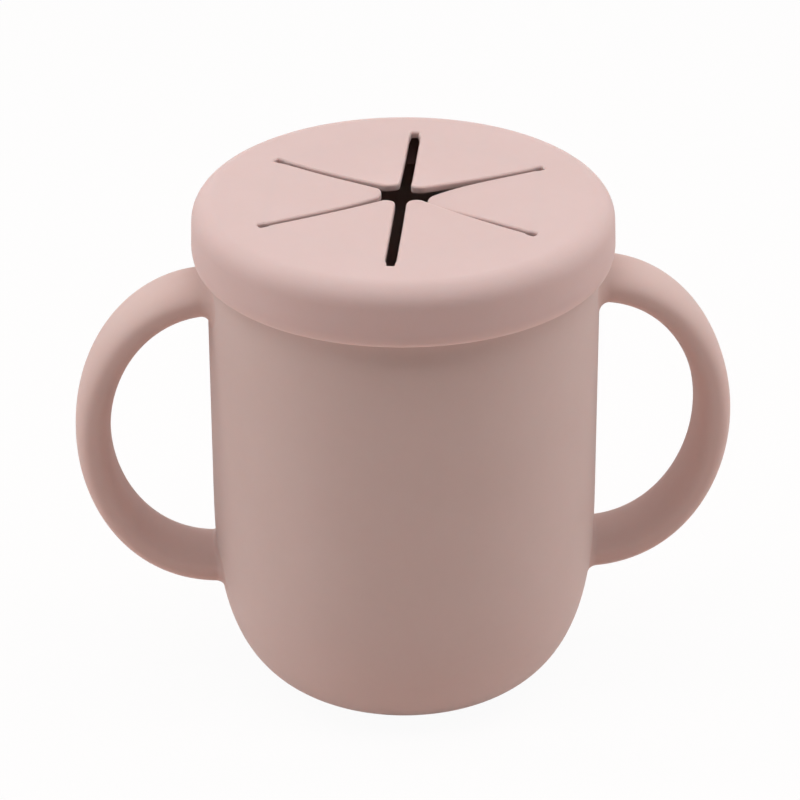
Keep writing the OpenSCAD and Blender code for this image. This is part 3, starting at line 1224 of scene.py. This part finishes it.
# %% [markdown]
# ## The floor
# The cup stands on a pale blush floor, which throws a warm light up under it. To the camera and to
# reflections the floor is nearly all white, so that it runs into the white background, and the
# twentieth part that is left keeps the cup's soft shadow. Light Path tells a look from a bounce.

# %% Floor
FLOOR_SIZE = 6.0
FLOOR_WHITE = 0.95
FLOOR_TONE = (0.91, 0.76, 0.715, 1)
WHITE = (1, 1, 1, 1)


def looked_at(tree):
    """1 for a ray from the camera, and for one that is mirrored or goes through glass."""
    path = add_node(tree, "ShaderNodeLightPath")
    seen = out(path, "Is Camera Ray").at_least(out(path, "Is Glossy Ray"))
    return seen.at_least(out(path, "Is Transmission Ray"))


def floor_material():
    """A matte blush floor that looks white."""
    material = bpy.data.materials.new("studio_floor")
    material.use_nodes = True
    tree = material.node_tree
    tree.nodes.clear()
    matte = add_node(tree, "ShaderNodeBsdfDiffuse", Color=FLOOR_TONE)
    white = add_node(tree, "ShaderNodeEmission", Color=WHITE, Strength=1.0)
    mixed = add_node(tree, "ShaderNodeMixShader", Fac=looked_at(tree) * FLOOR_WHITE)
    # Its two shaders share one name, so they go by number.
    plug(tree, out(matte), mixed.inputs[1])
    plug(tree, out(white), mixed.inputs[2])
    add_node(tree, "ShaderNodeOutputMaterial", Surface=out(mixed))
    return material


half = FLOOR_SIZE / 2
corners = [(-half, -half, 0), (half, -half, 0), (half, half, 0), (-half, half, 0)]
floor_data = bpy.data.meshes.new("studio_floor")
floor_data.from_pydata(corners, [], [(0, 1, 2, 3)])
floor_data.materials.append(floor_material())
floor = place("studio_floor", floor_data)
print(f"floor: {FLOOR_SIZE:.0f} m square, {FLOOR_WHITE:.0%} white to the camera")

# %% [markdown]
# ## The lamps
# Most of the light falls from above. One lamp right over the cup would wash out the flat of the
# lid, which faces straight up. So two wide softboxes hang level, one a little in front of the cup
# and one a little behind, with a dark gap between them.

# %% Softboxes
LAMP_Z = 0.9
LAMP_WIDTH = 1.87


def overhead_lamp(name, depth, away, watts):
    """A wide soft lamp that hangs level, this far behind the cup, or in front of it below 0."""
    lamp = bpy.data.lights.new(name, "AREA")
    lamp.shape = "RECTANGLE"
    lamp.size = LAMP_WIDTH
    lamp.size_y = depth
    lamp.energy = watts
    holder = place(name, lamp)
    holder.location = (0, away, LAMP_Z)
    holder.visible_glossy = False
    print(f"{name}: {watts} W, {LAMP_WIDTH} x {depth} m")


overhead_lamp("front_softbox", depth=0.30, away=-0.27, watts=5.85)
overhead_lamp("back_softbox", depth=0.21, away=0.15, watts=5.85)

# %% [markdown]
# ## The room
# The rest of the light is the room's. White walls stand low at both sides, with a fainter glow
# higher up on the left and behind. The room in front is dark, which gives the cup its darker
# middle. Cards and more lamps could make this, but they would need hiding. In the world each band
# of brightness is only a smooth ramp over the direction that the light comes from.

# %% Surroundings
SIDE_GLOW = 2.9
LEFT_GLOW = 0.35
BACK_GLOW = 0.4
SIDE_TOP = (0.18, 0.42)
LEFT_TOP = (0.6, 0.8)
BACK_TOP = (0.48, 0.72)
DARK_FRONT = (-0.45, -0.15)


def ramp(tree, wire, limits):
    """0 below the first limit, 1 above the second, smooth between them."""
    node = add_node(tree, "ShaderNodeMapRange", {"interpolation_type": "SMOOTHSTEP"}, Value=wire,
                    From_Min=limits[0], From_Max=limits[1])
    return out(node, "Result")


def surroundings():
    """Bands of light round the cup, a dark room in front, and plain white to the camera."""
    world = bpy.data.worlds.new("studio")
    world.use_nodes = True
    tree = world.node_tree
    tree.nodes.clear()
    way = add_node(tree, "ShaderNodeSeparateXYZ",
                   Vector=out(add_node(tree, "ShaderNodeTexCoord"), "Generated"))
    beside = out(way, "X") * out(way, "X")
    left = out(way, "X").math("LESS_THAN", 0.0)
    above_sides = ramp(tree, out(way, "Z"), SIDE_TOP)
    below_left = ramp(tree, out(way, "Z"), LEFT_TOP).from_number(1.0)
    below_back = ramp(tree, out(way, "Z"), BACK_TOP).from_number(1.0)
    low_sides = beside * SIDE_GLOW * above_sides.from_number(1.0)
    high_left = beside * left * LEFT_GLOW * above_sides * below_left
    behind = beside.from_number(1.0) * BACK_GLOW * below_back
    glow = (low_sides + high_left + behind) * ramp(tree, out(way, "Y"), DARK_FRONT)
    seen = looked_at(tree)
    strength = glow * seen.from_number(1.0) + seen
    light = add_node(tree, "ShaderNodeBackground", Color=WHITE, Strength=strength)
    add_node(tree, "ShaderNodeOutputWorld", Surface=out(light))
    print("surroundings:", len(tree.nodes), "nodes")
    return world


scene.world = surroundings()
scene.view_settings.view_transform = "Standard"

# %% [markdown]
# ## The camera
# The view is from a little above, through a long lens, with the right grip turned slightly away.
# The camera could be dragged into place by eye. Instead its place is worked out from a few plain
# facts: how far away it is, how high it looks from, how far the cup is turned, how large a
# millimetre shows, and how far the cup sits off the middle of the picture.

# %% Camera
CAMERA_AWAY = 712.5
CAMERA_RISE = math.radians(28.17)
CUP_TURN = math.radians(3.99)
CAMERA_ROLL = math.radians(0.25)
OFF_CENTRE = (0.75, -6.05)
AIM_Z = 50.0
PIXELS_PER_MM = 5.188
PICTURE_W = 800
SENSOR_MM = 36.0
NEAREST = 0.05
FARTHEST = 20


def add_camera():
    """A camera that looks at the middle of the cup."""
    lens = bpy.data.cameras.new("camera")
    lens.sensor_width = SENSOR_MM
    lens.lens = PIXELS_PER_MM * CAMERA_AWAY / PICTURE_W * SENSOR_MM
    lens.clip_start = NEAREST
    lens.clip_end = FARTHEST
    right = Vector((1, 0, 0))
    back = Vector((0, -math.cos(CAMERA_RISE), math.sin(CAMERA_RISE)))
    up = back.cross(right)
    spot = Vector((0, 0, AIM_Z)) + back * CAMERA_AWAY
    spot = spot - right * OFF_CENTRE[0] - up * OFF_CENTRE[1]
    axes = Matrix((right, up, back)).transposed() @ Matrix.Rotation(-CAMERA_ROLL, 3, "Z")
    turn = Matrix.Rotation(-CUP_TURN, 4, "Z")
    camera = place("camera", lens)
    camera.matrix_world = turn @ Matrix.LocRotScale(spot * MM, axes.to_quaternion(), None)
    print(f"camera: {lens.lens:.0f} mm lens, {CAMERA_AWAY} mm from the cup")
    return camera


scene.camera = add_camera()
